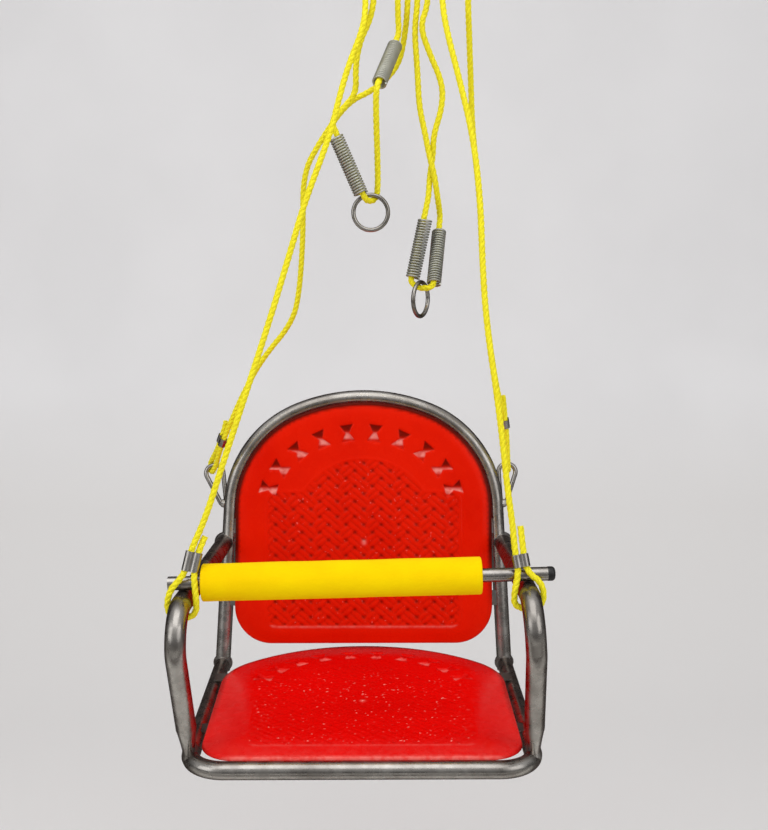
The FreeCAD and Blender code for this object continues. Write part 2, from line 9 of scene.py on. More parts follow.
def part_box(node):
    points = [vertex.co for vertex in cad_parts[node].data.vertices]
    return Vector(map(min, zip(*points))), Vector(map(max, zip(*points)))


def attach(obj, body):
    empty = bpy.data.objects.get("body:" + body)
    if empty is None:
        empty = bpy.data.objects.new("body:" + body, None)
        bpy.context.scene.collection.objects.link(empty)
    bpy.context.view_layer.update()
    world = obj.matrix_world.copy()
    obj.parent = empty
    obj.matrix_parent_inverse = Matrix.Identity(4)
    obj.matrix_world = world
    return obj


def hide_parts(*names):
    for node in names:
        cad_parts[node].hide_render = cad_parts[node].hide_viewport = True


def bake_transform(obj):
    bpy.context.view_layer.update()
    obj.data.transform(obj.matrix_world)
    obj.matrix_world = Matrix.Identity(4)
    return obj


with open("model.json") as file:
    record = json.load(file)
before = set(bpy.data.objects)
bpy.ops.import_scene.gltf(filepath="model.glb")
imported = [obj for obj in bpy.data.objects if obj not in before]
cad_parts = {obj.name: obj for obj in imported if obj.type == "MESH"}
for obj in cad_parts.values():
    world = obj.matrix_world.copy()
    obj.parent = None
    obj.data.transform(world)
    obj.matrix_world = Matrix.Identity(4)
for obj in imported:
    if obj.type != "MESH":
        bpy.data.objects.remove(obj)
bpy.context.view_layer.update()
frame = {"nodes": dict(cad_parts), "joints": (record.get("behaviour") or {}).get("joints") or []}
nodes = frame["nodes"]
scene = bpy.context.scene
print("frame loaded,", len(nodes), "nodes")

# Colours, as the eye sees them, from 0 to 255
colours = {
    "steel": (181, 177, 172),
    "steelShade": (143, 138, 133),
    "steelEdge": (168, 160, 158),
    "weld": (215, 212, 208),
    "spring": (196, 196, 186),
    "springShade": (170, 170, 161),
    # Seat and back are one red plastic; the back is painted darker and more orange than the seat, as painted
    # shade
    "seat": (238, 4, 2),
    "seatShade": (226, 2, 0),
    "back": (226, 25, 2),
    "backShade": (213, 17, 0),
    # Colours of the painted shade and the painted highlights on the moulded panels
    "panelShade": (84, 10, 4),
    "panelHighlight": (255, 168, 158),
    "panelShine": (255, 120, 90),
    "foam": (250, 213, 0),
    "foamShade": (246, 204, 0),
    "rope": (252, 240, 30),
    "ropeShade": (236, 218, 14),
    "plug": (20, 20, 22),
    "strip": (150, 150, 150),
    "room": (241, 240, 241),
    "roomShade": (237, 236, 237),
    "roomLow": (232, 230, 229),
    "wallMirrored": (86, 78, 76),
    "floorMirrored": (255, 255, 250),
}


def colour(name):
    linear = [(c / 255 / 12.92) if c <= 10 else ((c / 255 + 0.055) / 1.055) ** 2.4 for c in colours[name]]
    return (*linear, 1.0)


def startMaterial(name, **sockets):
    material = bpy.data.materials.new(name)
    material.use_nodes = True
    tree = material.node_tree
    shader = tree.nodes["Principled BSDF"]
    for socket, value in sockets.items():
        shader.inputs[socket.replace("_", " ")].default_value = value
    place = tree.nodes.new("ShaderNodeTexCoord")
    return material, tree, shader, place.outputs["Object"]


def addNoise(tree, place, scale, detail=3.0, stretch=None):
    texture = tree.nodes.new("ShaderNodeTexNoise")
    texture.inputs["Scale"].default_value = scale
    texture.inputs["Detail"].default_value = detail
    if stretch:
        mapping = tree.nodes.new("ShaderNodeMapping")
        mapping.inputs["Scale"].default_value = stretch
        tree.links.new(place, mapping.inputs["Vector"])
        place = mapping.outputs["Vector"]
    tree.links.new(place, texture.inputs["Vector"])
    return texture.outputs["Fac"]


def addRamp(tree, value, low, high, start=0.35, end=0.65):
    ramp = tree.nodes.new("ShaderNodeValToRGB")
    ramp.color_ramp.elements[0].position = start
    ramp.color_ramp.elements[1].position = end
    ramp.color_ramp.elements[0].color = low
    ramp.color_ramp.elements[1].color = high
    tree.links.new(value, ramp.inputs["Fac"])
    return ramp.outputs["Color"]


def addBump(tree, shader, value, height, strength=1.0):
    bump = tree.nodes.new("ShaderNodeBump")
    bump.inputs["Distance"].default_value = height
    bump.inputs["Strength"].default_value = strength
    tree.links.new(value, bump.inputs["Height"])
    tree.links.new(bump.outputs["Normal"], shader.inputs["Normal"])


def grey(value):
    return (value, value, value, 1.0)


# Two colours mixed by a share
def mixed(tree, share, first, second):
    mix = tree.nodes.new("ShaderNodeMix")
    mix.data_type = "RGBA"
    tree.links.new(share, mix.inputs["Factor"])
    sockets = [socket for socket in mix.inputs if socket.type == "RGBA"]
    for socket, value in zip(sockets, (first, second)):
        if isinstance(value, tuple):
            socket.default_value = value
        else:
            tree.links.new(value, socket)
    return next(socket for socket in mix.outputs if socket.type == "RGBA")


def layer(tree, name):
    stored = tree.nodes.new("ShaderNodeAttribute")
    stored.attribute_name = name
    return stored.outputs["Fac"]


def product(tree, first, second):
    times = tree.nodes.new("ShaderNodeMath")
    times.operation = "MULTIPLY"
    tree.links.new(first, times.inputs[0])
    tree.links.new(second, times.inputs[1])
    return times.outputs["Value"]


def makeMetal(name, base, shade, rough, roughSpread, grain, metallic=1.0):
    material, tree, shader, place = startMaterial(name, Metallic=metallic)
    shader.inputs["Specular Tint"].default_value = colour("steelEdge")
    blotches = addNoise(tree, place, 38.0, 4.0)
    tree.links.new(addRamp(tree, blotches, colour(shade), colour(base)), shader.inputs["Base Color"])
    wear = addNoise(tree, place, 140.0, 5.0)
    low, high = grey(rough), grey(rough + roughSpread)
    tree.links.new(addRamp(tree, wear, low, high), shader.inputs["Roughness"])
    addBump(tree, shader, addNoise(tree, place, 420.0, 2.0), grain)
    return material


def makePanelPlastic(name, base, shade):
    material, tree, shader, place = startMaterial(name, Coat_Weight=0.05, Coat_Roughness=0.08)
    shader.inputs["Specular IOR Level"].default_value = 0.2
    shader.inputs["Specular Tint"].default_value = colour("panelShine")
    flow = addNoise(tree, place, 14.0, 5.0)
    body = addRamp(tree, flow, colour(shade), colour(base), 0.2, 0.55)
    # Painted shade, where topForm darkens the weave, the dimples, the rim and the seat's rear
    body = mixed(tree, layer(tree, "paintedShade"), body, colour("panelShade"))
    # Painted highlights and reflections, broken up by noise
    patchy = addRamp(tree, addNoise(tree, place, 170.0, 2.0), grey(0.45), grey(1.0), 0.35, 0.6)
    body = mixed(tree, product(tree, patchy, layer(tree, "paintedHighlight")), body, colour("panelHighlight"))
    # Painted glints: pale flecks over the woven field
    flecks = addRamp(tree, addNoise(tree, place, 300.0, 1.0), grey(0.0), grey(1.0), 0.7, 0.77)
    body = mixed(tree, product(tree, flecks, layer(tree, "paintedGlints")), body, colour("panelHighlight"))
    tree.links.new(body, shader.inputs["Base Color"])
    scuffs = addNoise(tree, place, 75.0, 6.0)
    tree.links.new(addRamp(tree, scuffs, grey(0.2), grey(0.34)), shader.inputs["Roughness"])
    addBump(tree, shader, addNoise(tree, place, 260.0, 3.0), 0.0001)
    return material


def makeFoam():
    material, tree, shader, place = startMaterial("sleeveFoam", Roughness=0.8)
    shader.inputs["Specular IOR Level"].default_value = 0.05
    cells = tree.nodes.new("ShaderNodeTexVoronoi")
    cells.inputs["Scale"].default_value = 900.0
    tree.links.new(place, cells.inputs["Vector"])
    cloudy = addNoise(tree, place, 30.0, 4.0)
    tree.links.new(addRamp(tree, cloudy, colour("foamShade"), colour("foam")), shader.inputs["Base Color"])
    addBump(tree, shader, cells.outputs["Distance"], 0.00012, 0.7)
    return material


def makeRopeFibre():
    material, tree, shader, place = startMaterial("ropeFibre", Roughness=0.55)
    shader.inputs["Specular IOR Level"].default_value = 0.3
    strands = addNoise(tree, place, 60.0, 6.0, (9.0, 9.0, 1.6))
    tree.links.new(addRamp(tree, strands, colour("ropeShade"), colour("rope"), 0.25, 0.6),
                   shader.inputs["Base Color"])
    addBump(tree, shader, addNoise(tree, place, 90.0, 5.0, (14.0, 14.0, 2.0)), 0.0004)
    return material


def makePlugPlastic():
    material, tree, shader, place = startMaterial("plugPlastic")
    shader.inputs["Base Color"].default_value = colour("plug")
    scuffs = addNoise(tree, place, 300.0, 4.0)
    tree.links.new(addRamp(tree, scuffs, grey(0.35), grey(0.6)), shader.inputs["Roughness"])
    addBump(tree, shader, addNoise(tree, place, 700.0, 2.0), 0.0001)
    return material


plated = makeMetal("platedTube", "steel", "steelShade", 0.22, 0.14, 0.00005)
plainSteel = makeMetal("plainSteel", "strip", "steelShade", 0.3, 0.16, 0.00008)
weldMetal = makeMetal("weldMetal", "weld", "steelShade", 0.22, 0.2, 0.0012)
springWire = makeMetal("springWire", "spring", "springShade", 0.36, 0.12, 0.00004, 0.8)
# One plastic in two colours: the seat a lit copy, the back a copy in painted shade
seatPlastic = makePanelPlastic("seatPlastic", "seat", "seatShade")
backPlastic = makePanelPlastic("backPlastic", "back", "backShade")
sleeveFoam = makeFoam()
ropeFibre = makeRopeFibre()
plugPlastic = makePlugPlastic()

nodeFinish = {
    plated: ["seat_frame", "back_hoop", "armrest_left", "armrest_right", "rear_hook_left",
             "rear_hook_right", "safety_bar", "ring_left", "ring_right", "ferrule_left_front",
             "ferrule_right_front", "ferrule_left_rear", "ferrule_right_rear"],
    plainSteel: ["seat_cross_bars", "back_cross_bars", "panel_screws"],
    weldMetal: ["weld_beads"],
    springWire: ["spring_left_upper", "spring_left_lower", "spring_right_inner", "spring_right_outer"],
    plugPlastic: ["bar_end_plug"],
}
for material, names in nodeFinish.items():
    for name in names:
        nodes[name].data.materials.clear()
        nodes[name].data.materials.append(material)
print("materials on", sum(len(names) for names in nodeFinish.values()), "nodes")


def addPiece(name, points, faces, material, body=None, sharp=40.0):
    mesh = bpy.data.meshes.new(name)
    mesh.from_pydata([tuple(p) for p in points], [], faces)
    mesh.validate()
    mesh.polygons.foreach_set("use_smooth", [True] * len(mesh.polygons))
    mesh.set_sharp_from_angle(angle=math.radians(sharp))
    mesh.materials.append(material)
    piece = bpy.data.objects.new(name, mesh)
    scene.collection.objects.link(piece)
    if body:
        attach(piece, body)
    return piece


# Moulded seat and back
seatFrontY = -0.158
seatZ = -0.69
leanAngle = math.radians(10.6)
seatSet = {"back": 0.0065, "lift": 0.0056, "tilt": math.radians(1.4)}
backSet = {"back": 0.262, "lift": 0.0061}

dimple = {"count": 10, "step": 16.5, "tall": 0.0195, "wide": 0.0165, "waist": 0.005, "depth": 0.0017,
          "slope": 0.0016, "across": 0.1037, "up": 0.083}
field = {"half": 0.1055, "corner": 0.012, "high": 0.1835, "archRadius": 0.078, "shoulder": 0.1475}
# These plans also set how strong the painted shade, painted highlights and painted glints are on each panel
seatPlan = {
    "half": 0.1435, "low": 0.0, "high": 0.266, "corner": 0.032, "shoulder": 0.07, "top": 0.178,
    "rim": 0.003, "crown": 0.0035, "border": 0.042, "wall": 0.0025, "lip": 0.0022,
    "fieldLow": 0.0195, "ridge": 0.0001, "dimplesAt": (-0.0004, 0.1468), "relief": 0.45, "paintedGlints": 0.9,
    "shade": 0.22, "frontHighlight": 0.35, "sideReflection": 0.05, "rimShade": 0.5, "rearShade": 0.14,
    "dimpleShade": 0.2, "dimpleHighlight": 0.42,
}
backPlan = {
    "half": 0.139, "low": 0.0215, "high": 0.282, "corner": 0.04, "shoulder": 0.1115, "top": 0.1845,
    "rim": 0.003, "crown": 0.002, "border": 0.014, "wall": 0.0025, "lip": 0.0022,
    "fieldLow": 0.0385, "ridge": 0.0006, "dimplesAt": (-0.0029, 0.166), "relief": 1.0, "paintedGlints": 0.18,
    "shade": 1.0, "frontHighlight": 0.0, "sideReflection": 0.0, "rimShade": 1.0, "rearShade": 0.0,
    "dimpleShade": 0.85, "dimpleHighlight": 0.68,
}
weave = {"wide": 0.019, "tall": 0.0166, "reeds": 2, "height": 0.0012, "pit": 0.0007, "pitSize": 0.0022,
         "float": 3}
boss = {"size": 0.011, "spread": 0.095}
nub = {"size": 0.0022, "height": 0.0006}


def arcPoints(centre, radius, start, end, step=0.0025):
    count = max(2, int(radius * abs(end - start) / step))
    return [(centre[0] + radius * math.cos(start + (end - start) * i / count),
             centre[1] + radius * math.sin(start + (end - start) * i / count)) for i in range(count + 1)]


def thinned(points, least=0.0008):
    kept = [points[0]]
    for point in points[1:]:
        if math.dist(point, kept[-1]) > least:
            kept.append(point)
    if math.dist(kept[0], kept[-1]) < least:
        kept.pop()
    return kept


def runPoints(start, end, step=0.003):
    count = max(1, int(math.dist(start, end) / step))
    return [(start[0] + (end[0] - start[0]) * i / count, start[1] + (end[1] - start[1]) * i / count)
            for i in range(count)]


def archedOutline(half, low, high, corner, shoulder, top):
    shoulderX = half - shoulder
    topY = high - top
    shoulderY = topY + math.sqrt((top - shoulder) ** 2 - shoulderX ** 2)
    meet = math.atan2(shoulderY - topY, shoulderX)
    right = runPoints((0, low), (half - corner, low))
    right += arcPoints((half - corner, low + corner), corner, -math.pi / 2, 0)
    right += runPoints((half, low + corner), (half, shoulderY))
    right += arcPoints((shoulderX, shoulderY), shoulder, 0, meet)
    right += arcPoints((0, topY), top, meet, math.pi / 2)
    left = [(-x, y) for x, y in reversed(right)]
    return thinned(right + left)


def planOutline(plan, inset):
    return archedOutline(plan["half"] - inset, plan["low"] + inset, plan["high"] - inset,
                         plan["corner"] - inset, plan["shoulder"] - inset, plan["top"] - inset)


# The woven field: straight sides, flat shoulders and a round arch between them
def fieldOutline(plan):
    low = plan["fieldLow"]
    half, corner, radius = field["half"], field["corner"], field["archRadius"]
    archY = low + field["high"] - radius
    shoulderY = low + field["shoulder"]
    meet = math.asin((shoulderY - archY) / radius)
    right = runPoints((0, low), (half - corner, low))
    right += arcPoints((half - corner, low + corner), corner, -math.pi / 2, 0)
    right += runPoints((half, low + corner), (half, shoulderY - corner))
    right += arcPoints((half - corner, shoulderY - corner), corner, 0, math.pi / 2)
    right += arcPoints((0, archY), radius, meet, math.pi / 2)
    left = [(-x, y) for x, y in reversed(right)]
    return thinned(right + left)


# Distance to the outline, positive inside it
def outlineDistance(points, outline):
    ring = np.array(outline)
    after = np.roll(ring, -1, axis=0)
    best = np.full(len(points), 9.0)
    inside = np.zeros(len(points), bool)
    for a, b in zip(ring, after):
        run = b - a
        share = np.clip(((points - a) @ run) / (run @ run), 0, 1)
        best = np.minimum(best, np.hypot(*(points - a - share[:, None] * run).T))
        if a[1] != b[1]:
            crosses = (a[1] > points[:, 1]) != (b[1] > points[:, 1])
            reach = a[0] + (points[:, 1] - a[1]) * run[0] / run[1]
            inside ^= crosses & (points[:, 0] < reach)
    return np.where(inside, best, -best)


def smooth(value, start, end):
    t = np.clip((value - start) / (end - start), 0, 1)
    return t * t * (3 - 2 * t)


# How the woven reeds rise, and how much painted shade the gaps between them get
def weaveForm(points):
    across = points[:, 0] / weave["wide"] + points[:, 1] / weave["tall"]
    along = points[:, 0] / weave["wide"] - points[:, 1] / weave["tall"]
    cellU, cellV = np.floor(across), np.floor(along)
    u, v = across - cellU, along - cellV
    turn = (cellU + cellV) % weave["float"]
    over = turn == 0
    run = np.where(over, u, (turn - 1 + v) / (weave["float"] - 1))
    width = np.where(over, v, u)
    reed = np.sqrt(np.clip(1 - (2 * ((width * weave["reeds"]) % 1) - 1) ** 2, 0, 1))
    dome = 0.4 + 0.6 * np.sin(np.pi * run)
    cornerGap = np.hypot(np.minimum(u, 1 - u), np.minimum(v, 1 - v)) * (weave["wide"] + weave["tall"]) / 2.8
    pit = np.exp(-(cornerGap / weave["pitSize"]) ** 2)
    height = weave["height"] * (reed * dome - 0.5) - weave["pit"] * pit
    return height, np.clip(0.55 * pit + 0.3 * (1 - reed), 0, 1)


# Each dimple as its middle, its turn and its hourglass outline
def dimples(plan):
    tall, wide, waist = dimple["tall"] / 2, dimple["wide"] / 2, dimple["waist"] / 2
    corners = [(-wide, tall), (-waist, 0), (-wide, -tall), (wide, -tall), (waist, 0), (wide, tall)]
    found = []
    for number in range(dimple["count"]):
        turn = math.radians((number - (dimple["count"] - 1) / 2) * dimple["step"])
        middle = (plan["dimplesAt"][0] + dimple["across"] * math.sin(turn),
                  plan["dimplesAt"][1] + dimple["up"] * math.cos(turn))
        ring = []
        for here, after in zip(corners, corners[1:] + corners[:1]):
            ring += runPoints(here, after, 0.001)
        found.append((middle, turn, [(middle[0] + x * math.cos(turn) + y * math.sin(turn),
                                      middle[1] - x * math.sin(turn) + y * math.cos(turn))
                                     for x, y in ring]))
    return found


# Height of the moulded face, and the painted shade, painted highlights and painted glints at each point of it
def topForm(plan, points):
    edge = np.maximum(outlineDistance(points, planOutline(plan, 0)), 0)
    lip = plan["lip"]
    rounding = np.where(edge < lip, np.sqrt(np.maximum(lip ** 2 - (lip - edge) ** 2, 0)) - lip, 0)
    height = plan["rim"] + plan["crown"] * smooth(edge, 0, plan["border"]) + rounding
    inField = outlineDistance(points, fieldOutline(plan))
    woven = smooth(inField, 0.0015, 0.004)
    reeds, gaps = weaveForm(points)
    ridge = np.exp(-((inField - 0.001) / 0.0011) ** 2)
    lowRidge = ridge * smooth(plan["fieldLow"] + 0.004 - points[:, 1], 0, 0.002)
    # Painted shade in the weave's gaps and corner pits
    paintedShade = plan["shade"] * gaps * woven
    # Painted shade along the panel's rim, except at its bottom edge
    paintedShade += plan["rimShade"] * (1 - smooth(edge, 0.0028, 0.006)) * smooth(points[:, 1], 0.03, 0.14)
    # Painted shadow over the rear of the panel
    paintedShade += plan["rearShade"] * smooth(points[:, 1], 0.15, 0.25)
    # Painted highlights along the field's lower ridge and the front lip, and painted reflection on the side
    # bands
    paintedHighlight = 0.3 * plan["relief"] * lowRidge + plan["frontHighlight"] * (1 - smooth(points[:, 1], 0.001, 0.004))
    paintedHighlight += plan["sideReflection"] * (1 - smooth(edge, 0.006, 0.034)) * (1 - smooth(points[:, 1], 0.12, 0.2))
    height += plan["ridge"] * ridge + plan["relief"] * reeds * woven
    for middle, turn, ring in dimples(plan):
        gap = points - np.array(middle)
        near = np.hypot(*gap.T) < dimple["tall"]
        inside = outlineDistance(points[near], ring)
        rise = gap[near] @ np.array([0.0, 1.0])
        deep = smooth(inside, 0, dimple["slope"])
        height[near] -= dimple["depth"] * deep + plan["relief"] * reeds[near] * woven[near] * deep
        # Painted shade on the upper wall of each dimple and a painted highlight on its lower wall
        shadow = plan["dimpleShade"] * smooth(rise, -0.002, 0.005)
        paintedShade[near] = np.maximum(paintedShade[near] * (1 - deep), deep * np.maximum(shadow, 0.3 * plan["dimpleShade"]))
        lit = smooth(-rise, -0.002, 0.002) * (1 - smooth(-rise, 0.004, 0.0075))
        paintedHighlight[near] += plan["dimpleHighlight"] * smooth(inside, 0, 0.0012) * lit
    # The nub in the middle of the field is painted paler too
    centre = np.array([0.0, plan["fieldLow"] + field["high"] / 2])
    bump = np.exp(-(np.hypot(*(points - centre).T) / nub["size"]) ** 2)
    height += nub["height"] * bump
    paintedHighlight += 0.7 * bump
    return height, np.clip(paintedShade, 0, 1), np.clip(paintedHighlight, 0, 1), woven * plan["paintedGlints"]


def underHeight(plan, points):
    edge = outlineDistance(points, planOutline(plan, 0))
    under = plan["rim"] + plan["crown"] * smooth(edge, 0, plan["border"]) - plan["wall"]
    return np.where(edge < plan["wall"] + 0.0001, 0.0, under)


def gridPoints(plan, step, keep):
    xs = np.arange(-plan["half"], plan["half"], step)
    ys = np.arange(plan["low"], plan["high"], step)
    points = np.array([(x + step / 3 * (row % 2), y) for row, y in enumerate(ys) for x in xs])
    return points[keep(points)]


def clearOf(points, rings, gap):
    clear = np.ones(len(points), bool)
    for ring in rings:
        clear &= outlineDistance(points, ring) < -gap
    return clear


# Triangles over the outline and the extra points, and which of them lie on the outline
def triangulated(outline, extra):
    points = outline + [tuple(p) for p in extra]
    edges = [(i, (i + 1) % len(outline)) for i in range(len(outline))]
    found = delaunay_2d_cdt([Vector(p) for p in points], edges, [], 1, 1e-7)
    places = np.array([(v.x, v.y) for v in found[0]])
    middles = np.array([places[list(face)].mean(axis=0) for face in found[2]])
    keep = outlineDistance(middles, outline) > 0
    border = [0] * len(outline)
    for index, origins in enumerate(found[3]):
        for origin in origins:
            if origin < len(outline):
                border[origin] = index
    return places, [tuple(face) for face, kept in zip(found[2], keep) if kept], border


def makePanel(name, plan, place, bossRows, material):
    outline = planOutline(plan, 0)
    inner = fieldOutline(plan)
    rings = [ring for middle, turn, ring in dimples(plan)]
    lipRings = [p for inset in (0.0005, 0.0011, 0.0018, 0.0026) for p in planOutline(plan, inset)]
    bands = gridPoints(plan, 0.003, lambda p: (outlineDistance(p, outline) > 0.0035)
                       & (outlineDistance(p, inner) < -0.002) & clearOf(p, rings, 0.001))
    detail = gridPoints(plan, fineStep, lambda p: (outlineDistance(p, inner) >= -0.002)
                        & clearOf(p, rings, 0.0006))
    deep = gridPoints(plan, 0.0008, lambda p: (outlineDistance(p, outline) > 0.01)
                      & ~clearOf(p, rings, -0.0004))
    around = [p for ring in rings for p in ring]
    upper, upperFaces, upperRim = triangulated(outline, [*lipRings, *bands, *detail, *deep, *around])
    innerRings = [p for inset in (0.0025, 0.0028) for p in planOutline(plan, inset)]
    coarse = gridPoints(plan, 0.008, lambda p: outlineDistance(p, outline) > 0.006)
    lower, lowerFaces, lowerRim = triangulated(outline, [*innerRings, *coarse])
    heights, *layers = topForm(plan, upper)
    points = [(x, y, z) for (x, y), z in zip(upper, heights)]
    faces = list(upperFaces)
    first = len(points)
    points += [(x, y, z) for (x, y), z in zip(lower, underHeight(plan, lower))]
    faces += [tuple(first + i for i in reversed(face)) for face in lowerFaces]
    for i in range(len(outline)):
        j = (i + 1) % len(outline)
        faces.append((upperRim[i], first + lowerRim[i], first + lowerRim[j], upperRim[j]))
    addBosses(plan, bossRows, points, faces)
    placed = [place @ Vector(p) for p in points]
    piece = addPiece(name, placed, faces, material, "seat", 50.0)
    # The painted shade, painted highlights and painted glints, stored on the points for the material
    for title, values in zip(("paintedShade", "paintedHighlight", "paintedGlints"), layers):
        stored = piece.data.attributes.new(title, "FLOAT", "POINT")
        stored.data.foreach_set("value", [*values, *[0.0] * (len(points) - len(values))])
    print(name, "has", len(faces), "faces")
    return piece


# Round bosses under the panel, where its screws go in
def addBosses(plan, bossRows, points, faces):
    sides = 20
    levels = ((0.0, 1.0), (plan["rim"], 1.0), (plan["rim"] + plan["crown"] - 0.002, 1.15))
    for row in bossRows:
        for x in (-boss["spread"], boss["spread"]):
            first = len(points)
            for height, share in levels:
                for i in range(sides):
                    angle = 2 * math.pi * i / sides
                    reach = boss["size"] / 2 * share
                    points.append((x + reach * math.cos(angle), row + reach * math.sin(angle), height))
            for level in range(len(levels) - 1):
                for i in range(sides):
                    j = (i + 1) % sides
                    low = first + level * sides
                    faces.append((low + i, low + j, low + sides + j, low + sides + i))
            top = first + (len(levels) - 1) * sides
            faces.append(tuple(first + i for i in reversed(range(sides))))
            faces.append(tuple(top + i for i in range(sides)))


fineStep = 0.0013
seatPlace = (Matrix.Translation((0, seatFrontY + seatSet["back"], seatZ + seatSet["lift"]))
             @ Matrix.Rotation(seatSet["tilt"], 4, "X"))
backPlace = (Matrix.Translation((0, seatFrontY + backSet["back"], seatZ))
             @ Matrix.Rotation(math.pi / 2 - leanAngle, 4, "X")
             @ Matrix.Translation((0, 0, backSet["lift"])))
seatPanel = makePanel("seatShell", seatPlan, seatPlace, (0.068, 0.188), seatPlastic)
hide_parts("seat_panel")
backPanel = makePanel("backShell", backPlan, backPlace, (0.07, 0.148), backPlastic)
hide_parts("back_panel")


# Foam sleeve
foam = {"size": 0.033, "bore": 0.0128, "rounding": 0.0016, "dent": 0.00035, "sides": 72, "step": 0.004}


def makeFoamSleeve():
    joint = next(j for j in frame["joints"] if j["name"] == "foam_turn")
    along = Vector(joint["axis"]).normalized()
    onBar = Vector(joint["pos_m"])
    low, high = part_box("foam_sleeve")
    tilt = foam["size"] / 2 * along.z
    start = onBar + along * ((low[0] + tilt - onBar.x) / along.x)
    length = (high[0] - low[0] - tilt * 2) / along.x
    side = along.cross(Vector((0, 0, 1))).normalized()
    up = side.cross(along)
    radius, rounding = foam["size"] / 2, foam["rounding"]
    profile = [(0.0012, foam["bore"] / 2), (0, foam["bore"] / 2 + 0.0008), (0, radius - rounding)]
    profile += [(rounding * (1 - math.cos(a)), radius - rounding + rounding * math.sin(a))
                for a in (0.4, 0.8, 1.2)]
    count = int((length - rounding * 2) / foam["step"])
    profile += [(rounding + (length - rounding * 2) * i / count, radius) for i in range(count + 1)]
    profile += [(length - x, r) for x, r in reversed(profile[:6])]
    points, faces = [], []
    sides = foam["sides"]
    for x, r in profile:
        for i in range(sides):
            angle = 2 * math.pi * i / sides
            outward = side * math.cos(angle) + up * math.sin(angle)
            centre = start + along * x
            soft = noise.noise(centre * 28 + outward * 1.3) if r > radius * 0.6 else 0.0
            points.append(centre + outward * (r + foam["dent"] * (soft - 0.6)))
    for level in range(len(profile) - 1):
        for i in range(sides):
            j = (i + 1) % sides
            a, b = level * sides, (level + 1) * sides
            faces.append((a + i, a + j, b + j, b + i))
    piece = addPiece("foamSleeve", points, faces, sleeveFoam, "foam_sleeve", 50.0)
    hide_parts("foam_sleeve")


makeFoamSleeve()
print("foam sleeve made")


# Ropes
rope = {"size": 0.006, "strand": 0.0037, "strands": 3, "plump": 1.12, "lay": 0.017, "sides": 12,
        "step": 0.0018}

leftFront = [
    (0.003, -0.015, 0), (0.003, -0.015, -0.02), (0.002, -0.0265, -0.0465), (-0.0125, -0.036, -0.083),
    (-0.0205, -0.043, -0.1115), (-0.0285, -0.0515, -0.1445), (-0.051, -0.067, -0.2045),
    (-0.0625, -0.077, -0.245), (-0.0805, -0.0925, -0.3055), (-0.101, -0.1085, -0.369),
    (-0.121, -0.121, -0.43), (-0.135, -0.1295, -0.474), (-0.147, -0.1365, -0.5),
    (-0.1514, -0.1412, -0.519), (-0.1667, -0.1445, -0.535), (-0.1667, -0.1445, -0.5573),
    (-0.1421, -0.1445, -0.5573), (-0.1421, -0.1445, -0.537), (-0.1446, -0.141, -0.519),
    (-0.1404, -0.134, -0.5), (-0.1352, -0.13, -0.489),
]
leftRear = [
    (0.042, 0.015, 0), (0.042, 0.015, -0.02), (0.0395, 0.0285, -0.048), (0.0335, 0.0335, -0.075),
    (0.01, 0.038, -0.0955), (-0.0145, 0.0415, -0.1055), (-0.041, 0.0475, -0.1415),
    (-0.059, 0.0545, -0.173), (-0.0595, 0.0665, -0.228), (-0.0645, 0.0785, -0.2885),
    (-0.0725, 0.0855, -0.3205), (-0.104, 0.0955, -0.3575), (-0.124, 0.103, -0.392),
    (-0.1445, 0.114, -0.436), (-0.155, 0.123, -0.463), (-0.1602, 0.1342, -0.4794),
    (-0.1658, 0.1428, -0.4894), (-0.169, 0.1512, -0.4804), (-0.1634, 0.1426, -0.4704),
    (-0.157, 0.1295, -0.459), (-0.1486, 0.1218, -0.437), (-0.1465, 0.1195, -0.428),
]
rightFront = [
    (0.0715, -0.015, 0), (0.0715, -0.015, -0.02), (0.0745, -0.0265, -0.0475), (0.0875, -0.039, -0.0985),
    (0.0985, -0.0515, -0.1465), (0.1045, -0.066, -0.2035), (0.1055, -0.08, -0.258),
    (0.1085, -0.093, -0.3085), (0.117, -0.1085, -0.369), (0.122, -0.118, -0.412),
    (0.1255, -0.125, -0.448), (0.13, -0.131, -0.48), (0.1316, -0.135, -0.5), (0.1348, -0.1406, -0.518),
    (0.1308, -0.1445, -0.534), (0.1308, -0.1445, -0.5495), (0.1556, -0.1445, -0.5495),
    (0.156, -0.1445, -0.528), (0.1415, -0.1406, -0.518), (0.1385, -0.136, -0.5),
    (0.1368, -0.1305, -0.48),
]
rightRear = [
    (0.095, -0.015, 0), (0.095, -0.015, -0.02), (0.097, -0.0065, -0.0455), (0.101, 0.0145, -0.089),
    (0.1045, 0.0315, -0.1325), (0.1145, 0.0525, -0.1975), (0.119, 0.0715, -0.254),
    (0.1245, 0.086, -0.3005), (0.1335, 0.1045, -0.3545), (0.144, 0.1215, -0.404),
    (0.151, 0.1275, -0.422), (0.1542, 0.1305, -0.442), (0.1564, 0.1356, -0.4726),
    (0.1578, 0.1388, -0.4865), (0.1584, 0.151, -0.4837), (0.157, 0.1478, -0.4698),
    (0.1538, 0.1372, -0.442), (0.1523, 0.1345, -0.421), (0.1495, 0.1305, -0.402),
]
leftRing = [
    (0.0325, 0.015, 0), (0.0325, 0.015, -0.03), (0.034, 0.015, -0.0465), (0.0125, -0.039, -0.102),
    (0.012, -0.035, -0.119), (0.014, -0.013, -0.1705), (0.014, -0.0085, -0.193),
    (0.011, -0.011, -0.2005), (0.004, -0.0195, -0.201), (0.0015, -0.0245, -0.1975),
    (-0.0285, -0.0245, -0.13), (-0.0175, -0.018, -0.118), (-0.0055, -0.015, -0.1045),
    (-0.0065, -0.015, -0.08), (-0.002, -0.015, -0.0575), (0.007, -0.015, -0.04), (0.011, -0.015, -0.02),
    (0.011, -0.015, 0),
]
